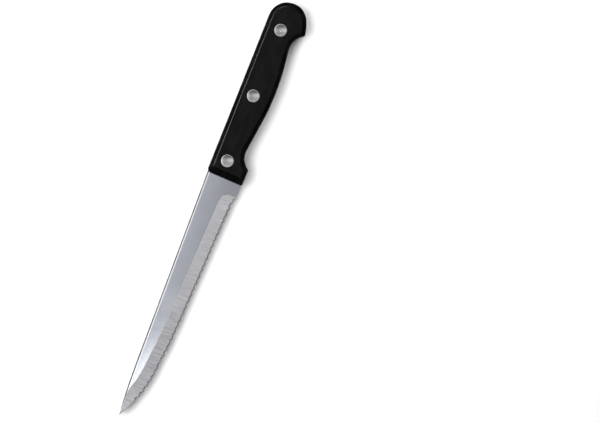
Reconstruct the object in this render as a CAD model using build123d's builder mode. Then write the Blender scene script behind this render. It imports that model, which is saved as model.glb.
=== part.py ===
from build123d import *

import os
from math import sqrt

# A serrated bread knife of the classic riveted kind, lying on its side.
# One steel blank makes both the blade and the full tang. Two moulded handle
# scales clamp the tang, held by three two-piece cutler's rivets.
#
# Row frame, in millimetres: +X towards the tip, +Y towards the cutting edge,
# +Z out of the blade's left face. The origin is the bottom centre of the
# knife's box. Every outline is drawn from the point where the spine leaves
# the handle, on the blade's middle plane, with the same axes.

# ---- driving dimensions ----------------------------------------------------
overall_length = 250.0
handle_length = 105.0
handle_thickness = 15.0
blade_stock = 1.6
spine_to_box_centre = 11.985   # half of the knife's depth, from spine to hook
blade_length = overall_length - handle_length
half_stock = blade_stock / 2
panel_height = handle_thickness / 2
knife = Plane(origin=(handle_length - overall_length / 2, -spine_to_box_centre, panel_height))

# ---- handle outline: corner points and the radius that rounds each ---------
handle_corners = [
    (-0.3, -0.62),             # spine, front
    (0.9, 20.57),              # guard, front
    (-8.66, 20.98),            # guard, rear
    (-13.3, 15.44),            # finger groove
    (-54.0, 21.6),             # belly of the grip
    (-85.26, 18.39),           # groove ahead of the hook
    (-90.15, 24.75),           # hook
    (-94.6, 24.1),             # heel of the butt
    (-handle_length, 20.1),    # butt, lower
    (-handle_length, 2.02),    # butt, upper
]
handle_radii = [2.2, 1.2, 1.2, 10.2, 140.0, 10.8, 0.9, 24.0, 10.6, 10.7]
tight_radius = 3.0             # corners under this stay square until last
square_radii = [0 if radius < tight_radius else radius for radius in handle_radii]

# ---- handle section --------------------------------------------------------
side_chamfer_width = 2.3       # seen from the side, all round but the front
side_chamfer_drop = 1.9
nose_chamfer_width = 4.2       # seen from the side, across the front
nose_chamfer_drop = 3.6
panel_fillet = 0.7             # where the flat panel turns into a chamfer
wall_fillet = 1.0              # where a chamfer turns into the side wall

# ---- rivets ----------------------------------------------------------------
rivet_places = {
    "front": (-9.6, 8.25),
    "middle": (-48.7, 9.3),
    "rear": (-88.4, 10.95),
}
head_radius = 3.6
head_rim_height = 1.25
head_crown = 0.25              # rise of the crown above the rim
crown_recess = 0.04            # the crown stays this far below the panel
counterbore_radius = 3.85
barrel_radius = 2.75
shank_radius = 1.95
barrel_end_gap = 0.5           # between the barrel's mouth and the stud's head
shank_end_gap = 0.5            # between the shank's tip and the bore's bottom
sleeve_floor = 0.8             # metal left under the bore of the sleeve
rim_round = 0.2
shank_lead = 0.4               # chamfer on the shank's tip

# ---- blade -----------------------------------------------------------------
spine_points = [(-6.0, -0.2), (127.0, -0.75), (blade_length, 0.3)]
spine_radius = 300.0
heel_edge = 19.4               # blade depth at the heel, where the edge is plain
heel_length = 9.6
edge_points = [(heel_length, 19.0), (95.0, 13.95), (131.6, 9.5), (blade_length, 0.3)]
edge_radii = [256.0, 64.0]

edge_thickness = 0.2           # left by the main grind at the cutting edge
grind_width = 7.4              # from the cutting edge to the grind line
grind_start = 7.1              # from the handle
grind_run_in = 5.5             # corner where the grind line turns down
run_in_fill = 0.95             # its radius as a share of that corner
run_in_lean = 1.0              # how far the run-in wall leans for each 1 mm down
run_in_top = 0.2               # the run-in wall is drawn from this far above the face
spine_bevels = [(1.15, 0.2), (0.6, 0.4)]     # width and drop, shallow then steep
spine_bevel_start = 4.8        # along the spine from its first point
heel_bevel = 0.3               # takes the corners off the plain edge

# ---- serration, measured along the edge from the end of the plain heel -----
scallop_count = 33
scallop_pitch = 3.775
scallop_depth = 0.8
scallop_slope = 1.8            # widening of each scallop for each 1 mm of height
first_peak = 1.9
lead_in_place = 0.9            # a shallow first touch of the grinding wheel
lead_in_lift = 0.6

# ---- plain bevel between the last scallop and the tip ----------------------
tip_bevel_width = 0.6
tip_bevel_drop = 0.25

run_off = 4.0                  # how far cutters reach past what they cut
cutter_margin = 1.0            # how far a cutter starts behind and above its bevel
flush = 0.01                   # heights closer than this are the same height


def handle_side(radii):
    """The grip's side view."""
    with BuildSketch() as side:
        with BuildLine():
            FilletPolyline(*handle_corners, radius=radii, close=True)
        make_face()
    return side.sketch


def blade_side():
    """The blade's side view, running back into the tang."""
    with BuildSketch() as side:
        with BuildLine():
            spine = FilletPolyline(*spine_points, radius=spine_radius)
            edge = FilletPolyline(*edge_points, radius=edge_radii)
            Polyline(edge @ 0, (heel_length, heel_edge), (spine_points[0][0], heel_edge), spine @ 0)
        make_face()
    return side.sketch


def beyond(start, end):
    """The point past end on the line from start."""
    point = Vector(*end) + (Vector(*end) - Vector(*start)).normalized() * run_off
    return (point.X, point.Y)


def knife_line(points, radius):
    """An open rounded line on the blade's middle plane, as one wire."""
    with BuildLine(knife) as line:
        if len(points) > 2:
            FilletPolyline(*points, radius=radius)
        else:
            Line(*points)
    return line.wires()[0]


def outward(line, place, side):
    """Direction square to the line at a place, within the blade's plane."""
    return Vector(0, 0, 1).cross(line % place) * side


def bevel_cutter(line, side, width, drop, face):
    """A wedge swept along a line, which grinds a bevel that wide and deep.

    The bevel starts at height face, at width inside the line, and has gone
    down by drop at the line itself. Side is 1 when the line has the steel on
    its left, as the cutting edge has, or -1 for the spine."""
    slope = drop / width
    start = Plane(origin=line @ 0, x_dir=outward(line, 0, side), z_dir=line % 0)
    with BuildPart() as cutter:
        with BuildSketch(start):
            with BuildLine():
                Polyline(
                    (-width - cutter_margin, side * (face + slope * cutter_margin)),
                    (run_off, side * (face - slope * (width + run_off))),
                    (run_off, side * (face + cutter_margin)),
                    (-width - cutter_margin, side * (face + cutter_margin)),
                    close=True,
                )
            make_face()
        sweep(path=line)
    return cutter.part


def heel_guard():
    """What the main grind leaves alone at the heel, with its sloping run-in."""
    corner = edge_points[0][1] - grind_width
    below = -4 * run_off
    above = heel_edge + 2 * run_off
    levels = [(run_in_top, 0.0), (-half_stock, run_in_lean * (half_stock + run_in_top))]
    with BuildPart() as guard:
        for height, lean in levels:
            wall = grind_start + lean
            end = grind_start + grind_run_in
            points = [
                (below, above),
                (wall, above),
                (wall, corner + lean),
                (end, corner + lean),
                (end, below),
                (below, below),
            ]
            with BuildSketch(knife.offset(half_stock + height)):
                with BuildLine():
                    turn = run_in_fill * (grind_run_in - lean)
                    FilletPolyline(*points, radius=[0, 0, turn, 0, 0, 0], close=True)
                make_face()
        loft(ruled=True)
    return guard.part


def scallop_cutters(line):
    """Hollow-grinding cones, one for each scallop, and the lead-in."""
    half_pitch = scallop_pitch / 2
    radius = (half_pitch**2 + scallop_depth**2) / (2 * scallop_depth)
    offset = sqrt(radius**2 - half_pitch**2)
    half_edge = edge_thickness / 2
    places = [(first_peak + (n + 0.5) * scallop_pitch, offset) for n in range(scallop_count)]
    places.append((lead_in_place, offset + lead_in_lift))
    spots = []
    for distance, lift in places:
        place = distance / line.length
        spots.append(Location(line @ place + outward(line, place, 1) * lift))
    with BuildPart() as cutter:
        with Locations(*spots):
            Cone(
                bottom_radius=radius - scallop_slope * (half_stock - half_edge),
                top_radius=radius + scallop_slope * (half_stock + half_edge),
                height=blade_stock,
            )
    return cutter.part


def rivet_spots(height):
    """The three rivet centres at a height above the blade's middle plane."""
    return [knife.from_local_coords(Vector(x, y, height)) for x, y in rivet_places.values()]


def side_of_handle(first, last):
    """One side of the handle, run past the square corners that end it."""
    count = len(handle_corners)
    order = [(first + n) % count for n in range((last - first) % count + 1)]
    points = [handle_corners[n] for n in order]
    ends = [beyond(points[1], points[0]), beyond(points[-2], points[-1])]
    radii = [handle_radii[n] for n in order[1:-1]]
    return knife_line([ends[0], *points[1:-1], ends[1]], radii)


# ---- blade and tang, one ground blank --------------------------------------
whole_edge = knife_line(edge_points, edge_radii)
ground_edge = knife_line(
    [beyond(edge_points[1], edge_points[0]), *edge_points[1:-1], beyond(*edge_points[-2:])],
    edge_radii,
)
whole_spine = knife_line(spine_points, spine_radius)
ground_spine = whole_spine.trim(spine_bevel_start / whole_spine.length, 1)
plain_heel = knife_line([(0.0, heel_edge), (heel_length, heel_edge)], None)
plain_tip = whole_edge.trim((first_peak + scallop_count * scallop_pitch) / whole_edge.length, 1)

grind_drop = half_stock - edge_thickness / 2
main_grind = bevel_cutter(ground_edge, 1, grind_width, grind_drop, half_stock) - heel_guard()
face_cutters = [main_grind, bevel_cutter(plain_heel, 1, heel_bevel, heel_bevel, half_stock)]
(width, drop), (steep_width, steep_drop) = spine_bevels
face_cutters.append(bevel_cutter(ground_spine, -1, width, drop, half_stock))
steep_face = half_stock - drop * (width - steep_width) / width
face_cutters.append(bevel_cutter(ground_spine, -1, steep_width, steep_drop, steep_face))
tip_face = edge_thickness / 2 + grind_drop * tip_bevel_width / grind_width
tip_bevel = bevel_cutter(plain_tip, 1, tip_bevel_width, tip_bevel_drop, tip_face)

with BuildPart() as blade:
    with BuildSketch(knife.offset(-half_stock)):
        add(handle_side(handle_radii))
        add(blade_side())
    extrude(amount=blade_stock)
    for cutter in face_cutters:
        add(cutter, mode=Mode.SUBTRACT)
        add(mirror(cutter, about=knife), mode=Mode.SUBTRACT)
    add(tip_bevel, mode=Mode.SUBTRACT)
    add(scallop_cutters(whole_edge), mode=Mode.SUBTRACT)
    with Locations(*rivet_spots(0)):
        Hole(radius=barrel_radius)

# ---- handle scales ---------------------------------------------------------
spine_corner, guard_front, guard_rear, hook = 0, 1, 2, 6
nose_line = side_of_handle(spine_corner, guard_front)
side_lines = [
    side_of_handle(guard_front, guard_rear),
    side_of_handle(guard_rear, hook),
    side_of_handle(hook, spine_corner),
]
chamfers = [
    bevel_cutter(line, -1, side_chamfer_width, side_chamfer_drop, panel_height)
    for line in side_lines
]
chamfers.append(bevel_cutter(nose_line, -1, nose_chamfer_width, nose_chamfer_drop, panel_height))
chamfer_feet = [handle_thickness - drop for drop in (side_chamfer_drop, nose_chamfer_drop)]

with BuildPart() as left_handle_scale:
    with BuildSketch(knife.offset(half_stock)):
        add(handle_side(square_radii))
    extrude(amount=panel_height - half_stock)
    add(chamfers, mode=Mode.SUBTRACT)
    panel = faces().filter_by(Plane.XY).sort_by(Axis.Z)[-1]
    fillet(panel.edges(), radius=panel_fillet)
    feet = edges().filter_by(lambda e: e.bounding_box().size.Z < flush)
    feet = feet.filter_by(lambda e: min(abs(e.center().Z - foot) for foot in chamfer_feet) < flush)
    fillet(feet, radius=wall_fillet)
    with BuildSketch(knife):
        add(handle_side(handle_radii))
    extrude(amount=handle_thickness, mode=Mode.INTERSECT)
    with Locations(*rivet_spots(panel_height)):
        CounterBoreHole(
            radius=barrel_radius,
            counter_bore_radius=counterbore_radius,
            counter_bore_depth=crown_recess + head_crown + head_rim_height,
        )

with BuildPart() as right_handle_scale:
    add(mirror(left_handle_scale.part, about=knife))


# ---- rivets ----------------------------------------------------------------
head_top = panel_height - crown_recess
head_edge = head_top - head_crown
head_seat = head_edge - head_rim_height


def turned(place, steps):
    """A turned piece: a domed head, then the steps down to its far end."""
    centre = knife.from_local_coords(Vector(*place, 0))
    axis_plane = Plane(origin=centre, x_dir=(1, 0, 0), z_dir=(0, -1, 0))
    with BuildPart() as piece:
        with BuildSketch(axis_plane):
            with BuildLine():
                crown_end = (head_radius - rim_round, head_edge)
                rim_end = (head_radius, head_edge - rim_round)
                ThreePointArc((0, head_top), (crown_end[0] / 2, head_top - head_crown / 4), crown_end)
                RadiusArc(crown_end, rim_end, rim_round)
                Polyline(rim_end, (head_radius, head_seat), *steps, (0, head_top))
            make_face()
        revolve(axis=Axis(axis_plane.origin, (0, 0, 1)))
    return piece.part


bore_bottom = sleeve_floor - head_top
shank_tip = bore_bottom + shank_end_gap
barrel_mouth = head_seat - barrel_end_gap
stud_steps = [
    (shank_radius, head_seat),
    (shank_radius, shank_tip + shank_lead),
    (shank_radius - shank_lead, shank_tip),
    (0, shank_tip),
]
sleeve_steps = [
    (barrel_radius, head_seat),
    (barrel_radius, -barrel_mouth),
    (shank_radius, -barrel_mouth),
    (shank_radius, -bore_bottom),
    (0, -bore_bottom),
]

pieces = {
    "blade": blade.part,
    "left_handle_scale": left_handle_scale.part,
    "right_handle_scale": right_handle_scale.part,
}
for name, place in rivet_places.items():
    pieces[name + "_rivet_stud"] = turned(place, stud_steps)
    pieces[name + "_rivet_sleeve"] = mirror(turned(place, sleeve_steps), about=knife)

# ---- every piece in its own file -------------------------------------------
os.makedirs("parts", exist_ok=True)
for name, piece in pieces.items():
    piece.label = name
    export_step(piece, f"parts/{name}.step")
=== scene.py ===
from math import cos, radians, sin

import bpy
from mathutils import Matrix, Vector


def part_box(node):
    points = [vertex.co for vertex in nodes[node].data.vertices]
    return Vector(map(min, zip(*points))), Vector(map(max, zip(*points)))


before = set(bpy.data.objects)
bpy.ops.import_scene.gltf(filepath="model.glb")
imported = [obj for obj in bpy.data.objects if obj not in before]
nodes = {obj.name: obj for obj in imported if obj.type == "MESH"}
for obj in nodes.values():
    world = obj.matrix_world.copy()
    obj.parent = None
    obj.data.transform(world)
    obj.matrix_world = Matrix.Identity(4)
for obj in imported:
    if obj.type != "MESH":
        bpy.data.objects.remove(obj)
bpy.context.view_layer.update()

# ---- places taken from the frame, in metres -----------------------------------
MM = 0.001
handle_length = 105 * MM
spine_proud = 0.74 * MM        # the spine bows out this far past the heel
blade_low, blade_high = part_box("blade")
blade_middle = (blade_low.z + blade_high.z) / 2
heel = Vector((blade_low.x + handle_length, blade_low.y + spine_proud, blade_middle))

# ---- the picture's axes, as the knife lies in it --------------------------------
lean = radians(20.239)         # the knife's lean from upright, its butt to the right
picture_right = Vector((-sin(lean), cos(lean), 0.0))
picture_up = Vector((-cos(lean), -sin(lean), 0.0))
picture_centre = heel + Vector((2.63 * MM, 55.95 * MM, 0.0))


def in_picture(right, up, toward):
    """A point given by the picture's right, its up, and towards the camera."""
    return picture_centre + picture_right * right + picture_up * up + Vector((0, 0, toward))


def add_camera():
    """A long lens straight above the knife."""
    frame_width = 336.3 * MM
    data = bpy.data.cameras.new("camera")
    data.sensor_width = 36.0
    data.lens = 250.0
    data.clip_end = 20.0
    height = frame_width * data.lens / data.sensor_width
    camera = bpy.data.objects.new("camera", data)
    turn = Matrix((picture_right, picture_up, picture_right.cross(picture_up))).transposed()
    camera.matrix_world = Matrix.Translation(in_picture(0, 0, height)) @ turn.to_4x4()
    bpy.context.collection.objects.link(camera)
    bpy.context.scene.camera = camera


class Graph:
    """Short calls that build one node tree."""

    def __init__(self, tree):
        self.tree = tree

    def node(self, kind, inputs=None, **settings):
        made = self.tree.nodes.new("ShaderNode" + kind)
        for name, value in settings.items():
            setattr(made, name, value)
        for key, value in (inputs or {}).items():
            self.put(value, made.inputs[key])
        return made

    def put(self, value, socket):
        if isinstance(value, bpy.types.NodeSocket):
            self.tree.links.new(value, socket)
        else:
            socket.default_value = value

    def math(self, operation, first, second=0.0):
        return self.node("Math", {0: first, 1: second}, operation=operation).outputs[0]

    def product(self, value, *factors):
        for factor in factors:
            value = self.math("MULTIPLY", value, factor)
        return value

    def ramp(self, value, start, end, low=0.0, high=1.0):
        """Low before start, high after end, and a smooth change between them."""
        inputs = {"Value": value, "From Min": start, "From Max": end, "To Min": low, "To Max": high}
        return self.node("MapRange", inputs, interpolation_type="SMOOTHSTEP").outputs[0]

    def hump(self, value, rise, fall, height):
        """Zero, then the height from the end of the rise to the start of the fall, then zero."""
        risen = self.ramp(value, *rise, 0.0, height)
        return self.math("SUBTRACT", risen, self.ramp(value, *fall, 0.0, height))

    def dot(self, first, second):
        return self.node("VectorMath", {0: first, 1: second}, operation="DOT_PRODUCT").outputs["Value"]

    def stretched(self, vector, factors):
        return self.node("VectorMath", {0: vector, 1: factors}, operation="MULTIPLY").outputs[0]

    def noise(self, vector, scale, detail=3.0, roughness=0.5):
        inputs = {"Vector": vector, "Scale": scale, "Detail": detail, "Roughness": roughness}
        return self.node("TexNoise", inputs).outputs[0]

    def blend(self, factor, first, second):
        """A number between first and second."""
        return self.node("Mix", {0: factor, 2: first, 3: second}, data_type="FLOAT").outputs[0]

    def tint(self, factor, first, second):
        """A colour between first and second."""
        colours = [c if isinstance(c, bpy.types.NodeSocket) else (*c, 1.0) for c in (first, second)]
        inputs = {0: factor, 6: colours[0], 7: colours[1]}
        return self.node("Mix", inputs, data_type="RGBA").outputs[2]

    def shade(self, colour, amount):
        """The colour times an amount."""
        grey = self.node("CombineColor", {0: amount, 1: amount, 2: amount}).outputs[0]
        inputs = {0: 1.0, 6: colour, 7: grey}
        return self.node("Mix", inputs, data_type="RGBA", blend_type="MULTIPLY").outputs[2]

    def true_normal(self):
        return self.node("NewGeometry").outputs["True Normal"]

    def away_from_edges(self, radius, samples):
        """1 away from every edge, and less within the radius of one."""
        rounded = self.node("Bevel", {"Radius": radius}, samples=samples).outputs[0]
        return self.dot(rounded, self.true_normal())

    def bump(self, height, distance, strength, normal=None):
        inputs = {"Height": height, "Distance": distance, "Strength": strength}
        if normal is not None:
            inputs["Normal"] = normal
        return self.node("Bump", inputs).outputs[0]


# ---- light --------------------------------------------------------------------
def area_light(name, place, aim, size, power):
    """A rectangular white softbox at a place, facing an aim point."""
    data = bpy.data.lights.new(name, "AREA")
    data.shape = "RECTANGLE"
    data.size, data.size_y = size
    data.energy = power
    light = bpy.data.objects.new(name, data)
    away = (place - aim).normalized()
    across = picture_up.cross(away).normalized()
    turn = Matrix((across, away.cross(across), away)).transposed()
    light.matrix_world = Matrix.Translation(place) @ turn.to_4x4()
    bpy.context.collection.objects.link(light)
    return light


def add_world():
    """A pale studio, whose ceiling is shaded so that each face of the blade reflects its own tone."""
    world = bpy.data.worlds.new("studio")
    bpy.context.scene.world = world
    world.use_nodes = True
    g = Graph(world.node_tree)
    direction = g.node("TexCoord").outputs["Generated"]
    right = g.dot(direction, picture_right)
    up = g.dot(direction, picture_up)
    toward = g.dot(direction, (0, 0, 1))

    ceiling = g.ramp(right, -0.16, 0.17, 0.42, 0.92)
    ceiling = g.math("SUBTRACT", ceiling, g.ramp(right, 0.3, 0.6, 0.0, 0.8))
    ceiling = g.math("SUBTRACT", ceiling, g.ramp(right, -0.45, -0.65, 0.0, 0.3))
    past_butt = g.ramp(up, 0.045, 0.2, 1.0, 0.06)
    past_tip = g.ramp(up, -0.03, 0.02, 0.7, 1.38)
    across_flat = g.ramp(right, -0.05, 0.07, 0.9, 1.1)
    over_grind = g.blend(g.ramp(right, 0.05, 0.1), 1.0, g.ramp(up, -0.105, -0.055, 0.76, 1.0))
    ceiling = g.product(ceiling, past_butt, past_tip, across_flat, over_grind)

    left_wall = g.hump(right, (-0.22, -0.32), (-0.38, -0.55), 0.9)
    top_wall = g.ramp(up, 0.4, 0.65, 0.0, 0.3)
    bottom_wall = g.hump(up, (-0.14, -0.24), (-0.32, -0.5), 0.35)
    level = g.math("ADD", ceiling, g.math("MAXIMUM", left_wall, top_wall))
    level = g.math("ADD", level, bottom_wall)
    above_floor = g.ramp(toward, 0.2, 0.6, 0.05, 1.0)

    background = world.node_tree.nodes["Background"].inputs
    g.put((1.0, 1.0, 1.0, 1.0), background["Color"])
    g.put(g.product(level, above_floor), background["Strength"])
    bpy.context.scene.view_settings.view_transform = "Standard"


def add_lights():
    """A key and a low fill that cast the soft shadow, and three panels that are only reflected."""
    key = area_light("key", in_picture(-0.43, 0.1, 1.15), heel, (0.62, 0.62), 12.3)
    fill = area_light("fill", in_picture(0.2, 0.4, 0.2), heel, (0.3, 0.3), 1.55)
    for light in (key, fill):
        light.visible_glossy = False

    edge_strip = area_light("edge_strip", in_picture(-0.95, 0.25, 1.0), heel, (0.32, 0.9), 52)
    butt_strip = area_light("butt_strip", in_picture(-0.35, 0.95, 1.0), heel, (0.9, 0.25), 22)
    panel_width, panel_depth, panel_height = 0.3, 0.075, 0.4
    right_edge, top_edge = -0.087, -0.094
    centre = in_picture(right_edge - panel_width / 2, top_edge - panel_depth / 2, panel_height)
    straight_down = centre - Vector((0, 0, 1))
    tip_panel = area_light("tip_panel", centre, straight_down, (panel_width, panel_depth), 0.2)
    for light in (edge_strip, butt_strip, tip_panel):
        light.visible_diffuse = False


# ---- materials ------------------------------------------------------------------
def new_material(name):
    material = bpy.data.materials.new(name)
    material.use_nodes = True
    shader = material.node_tree.nodes["Principled BSDF"]
    return material, Graph(material.node_tree), shader.inputs


def blade_steel():
    """Stainless strip, ground across: fine on the flat, coarser on the bevels, with a painted highlight
    along their edges.
    """
    hollow_radius = 190 * MM
    hollow_centre = heel.y + 6 * MM
    edge_highlight_width = 0.3 * MM
    scratch_depth = 0.004 * MM
    material, g, out = new_material("ground_steel")
    place = g.node("TexCoord").outputs["Object"]
    facing = g.math("ABSOLUTE", g.dot(g.true_normal(), (0, 0, 1)))
    on_flat = g.ramp(facing, 0.9975, 0.9985)

    fine = g.noise(g.stretched(place, (1.0, 0.04, 0.2)), 3600)
    coarse = g.noise(g.stretched(place, (1.0, 0.05, 0.2)), 1400, roughness=0.6)
    patches = g.noise(g.stretched(place, (1.0, 0.6, 1.0)), 60, detail=2.0)
    lines = g.blend(0.22, fine, coarse)

    bevel_grey, flat_grey = (0.69, 0.687, 0.72), (0.525, 0.545, 0.605)
    bevel_lines = g.ramp(lines, 0.35, 0.65, 0.90, 1.10)
    flat_lines = g.ramp(lines, 0.35, 0.65, 0.96, 1.04)
    colour = g.shade(g.tint(on_flat, bevel_grey, flat_grey), g.blend(on_flat, bevel_lines, flat_lines))
    colour = g.shade(colour, g.ramp(patches, 0.3, 0.7, 0.97, 1.03))
    # Painted highlight: within 0.3 mm of the edges of the flat and the bevels, the colour is lightened
    # towards near-white steel.
    inner = g.away_from_edges(edge_highlight_width, 8)
    painted_edge_highlight = g.product(g.ramp(inner, 0.9999, 0.9994), g.ramp(facing, 0.99, 0.994))
    g.put(g.tint(painted_edge_highlight, colour, (0.93, 0.94, 0.96)), out["Base Color"])

    flat_rough = g.ramp(patches, 0.3, 0.7, 0.17, 0.20)
    bevel_rough = g.ramp(lines, 0.3, 0.7, 0.10, 0.15)
    g.put(g.blend(on_flat, bevel_rough, flat_rough), out["Roughness"])
    g.put(g.node("CombineXYZ", {0: 1.0}).outputs[0], out["Tangent"])
    out["Anisotropic"].default_value = 0.3
    out["Metallic"].default_value = 1.0

    across = g.math("SUBTRACT", g.node("SeparateXYZ", {0: place}).outputs[1], hollow_centre)
    hollow = g.math("MULTIPLY", g.math("POWER", across, 2.0), 1 / (2 * hollow_radius))
    hollowed = g.bump(hollow, 1.0, on_flat)
    g.put(g.bump(lines, scratch_depth, g.blend(on_flat, 0.3, 0.2), hollowed), out["Normal"])
    return material


def handle_plastic():
    """Moulded black plastic with a fine grain, rubbed on its edges."""
    worn_width = 0.5 * MM
    grain_depth = 0.02 * MM
    material, g, out = new_material("moulded_plastic")
    place = g.node("TexCoord").outputs["Object"]
    grain = g.noise(place, 2600, roughness=0.6)
    mottle = g.noise(g.stretched(place, (0.5, 1.0, 1.0)), 220)
    inner = g.away_from_edges(worn_width, 6)
    worn = g.product(g.ramp(inner, 0.97, 0.90), g.ramp(mottle, 0.45, 0.6))
    colour = g.tint(g.ramp(mottle, 0.3, 0.7), (0.0006, 0.0006, 0.0007), (0.0012, 0.0012, 0.0014))
    g.put(g.tint(worn, colour, (0.010, 0.010, 0.010)), out["Base Color"])
    g.put(g.blend(worn, g.ramp(mottle, 0.3, 0.7, 0.22, 0.30), 0.2), out["Roughness"])
    out["Specular IOR Level"].default_value = 0.13
    g.put(g.bump(grain, grain_depth, 0.25), out["Normal"])
    return material


def rivet_steel(name, centre):
    """A rivet head, turned, then brushed at a slant, with a rougher rim darkened by painted shade."""
    brushing = 0.9                 # radians from the handle's length
    rim_start, rim_end = 3.15 * MM, 3.5 * MM
    scratch_depth = 0.004 * MM
    material, g, out = new_material(name)
    place = g.node("TexCoord").outputs["Object"]
    local = g.node("VectorMath", {0: place, 1: centre}, operation="SUBTRACT").outputs[0]
    radius = g.node("VectorMath", {0: g.stretched(local, (1, 1, 0))}, operation="LENGTH").outputs["Value"]
    rings = g.noise(g.node("CombineXYZ", {0: radius}).outputs[0], 5000)
    turned = g.node("VectorRotate", {"Vector": local, "Angle": brushing}, rotation_type="Z_AXIS").outputs[0]
    scratches = g.noise(g.stretched(turned, (1.0, 0.05, 1.0)), 4200, roughness=0.6)
    lines = g.blend(0.75, rings, scratches)
    colour = g.tint(g.ramp(lines, 0.35, 0.65), (0.45, 0.445, 0.44), (0.58, 0.575, 0.57))
    # Painted shade: a dark ring at the outer edge of the head, which is also made rougher.
    painted_rim_shade = g.ramp(radius, rim_start, rim_end)
    g.put(g.tint(painted_rim_shade, colour, (0.16, 0.155, 0.15)), out["Base Color"])
    g.put(g.blend(painted_rim_shade, g.ramp(lines, 0.3, 0.7, 0.14, 0.22), 0.5), out["Roughness"])
    out["Metallic"].default_value = 1.0
    g.put(g.bump(lines, scratch_depth, 0.5), out["Normal"])
    return material


def floor_white():
    material, g, out = new_material("floor_white")
    g.put((0.9, 0.9, 0.9, 1.0), out["Base Color"])
    g.put(0.8, out["Roughness"])
    return material


def dress(node, material):
    for slot in node.material_slots:
        slot.material = material


def add_floor():
    floor_size = 4.0
    bpy.ops.mesh.primitive_plane_add(size=floor_size, location=(0, 0, 0))
    floor = bpy.context.object
    floor.name = "floor"
    floor.data.materials.append(floor_white())


add_camera()
add_world()
add_lights()
add_floor()

dress(nodes["blade"], blade_steel())
plastic = handle_plastic()
dress(nodes["left_handle_scale"], plastic)
dress(nodes["right_handle_scale"], plastic)
for place in ("front", "middle", "rear"):
    low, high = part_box(place + "_rivet_stud")
    material = rivet_steel(place + "_rivet_steel", (low + high) / 2)
    dress(nodes[place + "_rivet_stud"], material)
    dress(nodes[place + "_rivet_sleeve"], material)
